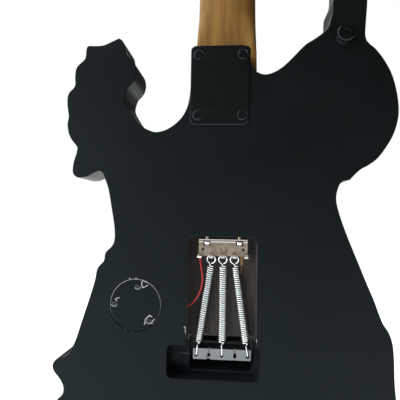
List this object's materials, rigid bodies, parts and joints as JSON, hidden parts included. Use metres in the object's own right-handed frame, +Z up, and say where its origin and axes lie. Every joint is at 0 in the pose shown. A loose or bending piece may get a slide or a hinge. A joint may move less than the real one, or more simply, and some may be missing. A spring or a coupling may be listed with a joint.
{
  "type": "electric guitar",
  "caption": "Solid-body electric guitar with a scalloped black body, a bolt-on maple neck and a floating tremolo whose springs lie open in a cavity in the back.",
  "frame": {"origin": "on the flat back face of the body, on the neck's centreline, midway between the neck plate and the spring cavity", "axes": "+Z up the neck towards the headstock, +Y out of the back, so the strings face -Y, and +X towards the treble side"},
  "size_m": [0.2924, 0.1011, 1.0069],
  "materials": {
    "black_finished_wood": "satin black paint over solid wood",
    "maple": "amber satin lacquer",
    "rosewood": "oiled open grain",
    "black_plated_steel": "gloss black plate",
    "nickel_plate": "tarnished nickel plate",
    "plain_steel": "bright drawn wire and steel",
    "cast_zinc": "plain casting, grey",
    "red_insulation": "soft red sleeve",
    "black_plastic": "satin black moulding"
  },
  "bodies": {
    "guitar": {"guitar_body": "black_finished_wood", "neck": "maple", "fretboard": "rosewood", "truss_rod": "plain_steel", "locking_nut": "black_plated_steel", "neck_plate": "black_plated_steel", "neck_screw_1": "black_plated_steel", "neck_screw_2": "black_plated_steel", "neck_screw_3": "black_plated_steel", "neck_screw_4": "black_plated_steel", "upper_strap_button": "black_plated_steel", "lower_strap_button": "black_plated_steel", "spring_claw": "nickel_plate", "claw_screw_1": "nickel_plate", "claw_screw_2": "nickel_plate", "spring_1": "plain_steel", "spring_2": "plain_steel", "spring_3": "plain_steel", "ground_wire": "red_insulation", "pivot_stud_1": "black_plated_steel", "pivot_stud_2": "black_plated_steel", "pickup_ring": "black_plastic", "humbucker": "black_plastic", "control_cover": "black_plastic", "volume_pot": "plain_steel", "output_jack": "black_plated_steel", "tuner_housing_1": "black_plated_steel", "tuner_housing_2": "black_plated_steel", "tuner_housing_3": "black_plated_steel", "tuner_housing_4": "black_plated_steel", "tuner_housing_5": "black_plated_steel", "tuner_housing_6": "black_plated_steel", "string_1": "plain_steel", "string_2": "plain_steel", "string_3": "plain_steel", "string_4": "plain_steel", "string_5": "plain_steel", "string_6": "plain_steel"},
    "tremolo": {"tremolo_plate": "black_plated_steel", "tremolo_block": "cast_zinc", "saddle_1": "black_plated_steel", "saddle_2": "black_plated_steel", "saddle_3": "black_plated_steel", "saddle_4": "black_plated_steel", "saddle_5": "black_plated_steel", "saddle_6": "black_plated_steel"},
    "tremolo_arm": {"tremolo_arm": "black_plated_steel"},
    "volume_knob": {"volume_knob": "black_plated_steel"},
    "tuner_button_1": {"tuner_button_1": "black_plated_steel"},
    "tuner_post_1": {"tuner_post_1": "black_plated_steel"},
    "tuner_button_2": {"tuner_button_2": "black_plated_steel"},
    "tuner_post_2": {"tuner_post_2": "black_plated_steel"},
    "tuner_button_3": {"tuner_button_3": "black_plated_steel"},
    "tuner_post_3": {"tuner_post_3": "black_plated_steel"},
    "tuner_button_4": {"tuner_button_4": "black_plated_steel"},
    "tuner_post_4": {"tuner_post_4": "black_plated_steel"},
    "tuner_button_5": {"tuner_button_5": "black_plated_steel"},
    "tuner_post_5": {"tuner_post_5": "black_plated_steel"},
    "tuner_button_6": {"tuner_button_6": "black_plated_steel"},
    "tuner_post_6": {"tuner_post_6": "black_plated_steel"}
  },
  "joints": [
    {"name": "tremolo_tilt", "type": "hinge", "parent": "guitar", "child": "tremolo", "pos_m": [0, -0.0468, -0.14], "axis": [1, 0, 0], "range_deg": [-12, 4], "stiffness_Nm_per_rad": 10, "deforming": ["spring_1", "spring_2", "spring_3", "string_1", "string_2", "string_3", "string_4", "string_5", "string_6"]},
    {"name": "tremolo_arm_swing", "type": "hinge", "parent": "tremolo", "child": "tremolo_arm", "pos_m": [0.0384, -0.0574, -0.16], "axis": [0, -1, 0], "range_deg": [-25, 172]},
    {"name": "volume_turn", "type": "hinge", "parent": "guitar", "child": "volume_knob", "pos_m": [0.0742, -0.0469, -0.108], "axis": [0, -1, 0], "range_deg": [-150, 150]},
    {"name": "tuner_button_turn_1", "type": "hinge", "parent": "guitar", "child": "tuner_button_1", "pos_m": [0.01553, 0.00719, 0.67499], "axis": [-0.9641, 0.0552, 0.2599], "continuous": true},
    {"name": "tuner_post_turn_1", "type": "hinge", "parent": "guitar", "child": "tuner_post_1", "pos_m": [0.01457, -0.01183, 0.67548], "axis": [0, 0.9781, -0.2079], "continuous": true},
    {"name": "tuner_button_turn_2", "type": "hinge", "parent": "guitar", "child": "tuner_button_2", "pos_m": [0.00849, 0.00191, 0.65014], "axis": [-0.9641, 0.0552, 0.2599], "continuous": true},
    {"name": "tuner_post_turn_2", "type": "hinge", "parent": "guitar", "child": "tuner_post_2", "pos_m": [0.00754, -0.01711, 0.65064], "axis": [0, 0.9781, -0.2079], "continuous": true},
    {"name": "tuner_button_turn_3", "type": "hinge", "parent": "guitar", "child": "tuner_button_3", "pos_m": [0.00144, -0.00337, 0.6253], "axis": [-0.9641, 0.0552, 0.2599], "continuous": true},
    {"name": "tuner_post_turn_3", "type": "hinge", "parent": "guitar", "child": "tuner_post_3", "pos_m": [0.00049, -0.02239, 0.62579], "axis": [0, 0.9781, -0.2079], "continuous": true},
    {"name": "tuner_button_turn_4", "type": "hinge", "parent": "guitar", "child": "tuner_button_4", "pos_m": [-0.00567, -0.00866, 0.60045], "axis": [-0.9641, 0.0552, 0.2599], "continuous": true},
    {"name": "tuner_post_turn_4", "type": "hinge", "parent": "guitar", "child": "tuner_post_4", "pos_m": [-0.00663, -0.02767, 0.60095], "axis": [0, 0.9781, -0.2079], "continuous": true},
    {"name": "tuner_button_turn_5", "type": "hinge", "parent": "guitar", "child": "tuner_button_5", "pos_m": [-0.0128, -0.01394, 0.57561], "axis": [-0.9641, 0.0552, 0.2599], "continuous": true},
    {"name": "tuner_post_turn_5", "type": "hinge", "parent": "guitar", "child": "tuner_post_5", "pos_m": [-0.01375, -0.03295, 0.5761], "axis": [0, 0.9781, -0.2079], "continuous": true},
    {"name": "tuner_button_turn_6", "type": "hinge", "parent": "guitar", "child": "tuner_button_6", "pos_m": [-0.01993, -0.01922, 0.55076], "axis": [-0.9641, 0.0552, 0.2599], "continuous": true},
    {"name": "tuner_post_turn_6", "type": "hinge", "parent": "guitar", "child": "tuner_post_6", "pos_m": [-0.02089, -0.03823, 0.55126], "axis": [0, 0.9781, -0.2079], "continuous": true}
  ],
  "couplings": [
    {"joint": "tuner_post_turn_1", "follows": "tuner_button_turn_1", "ratio": 0.066667},
    {"joint": "tuner_post_turn_2", "follows": "tuner_button_turn_2", "ratio": 0.066667},
    {"joint": "tuner_post_turn_3", "follows": "tuner_button_turn_3", "ratio": 0.066667},
    {"joint": "tuner_post_turn_4", "follows": "tuner_button_turn_4", "ratio": 0.066667},
    {"joint": "tuner_post_turn_5", "follows": "tuner_button_turn_5", "ratio": 0.066667},
    {"joint": "tuner_post_turn_6", "follows": "tuner_button_turn_6", "ratio": 0.066667}
  ]
}
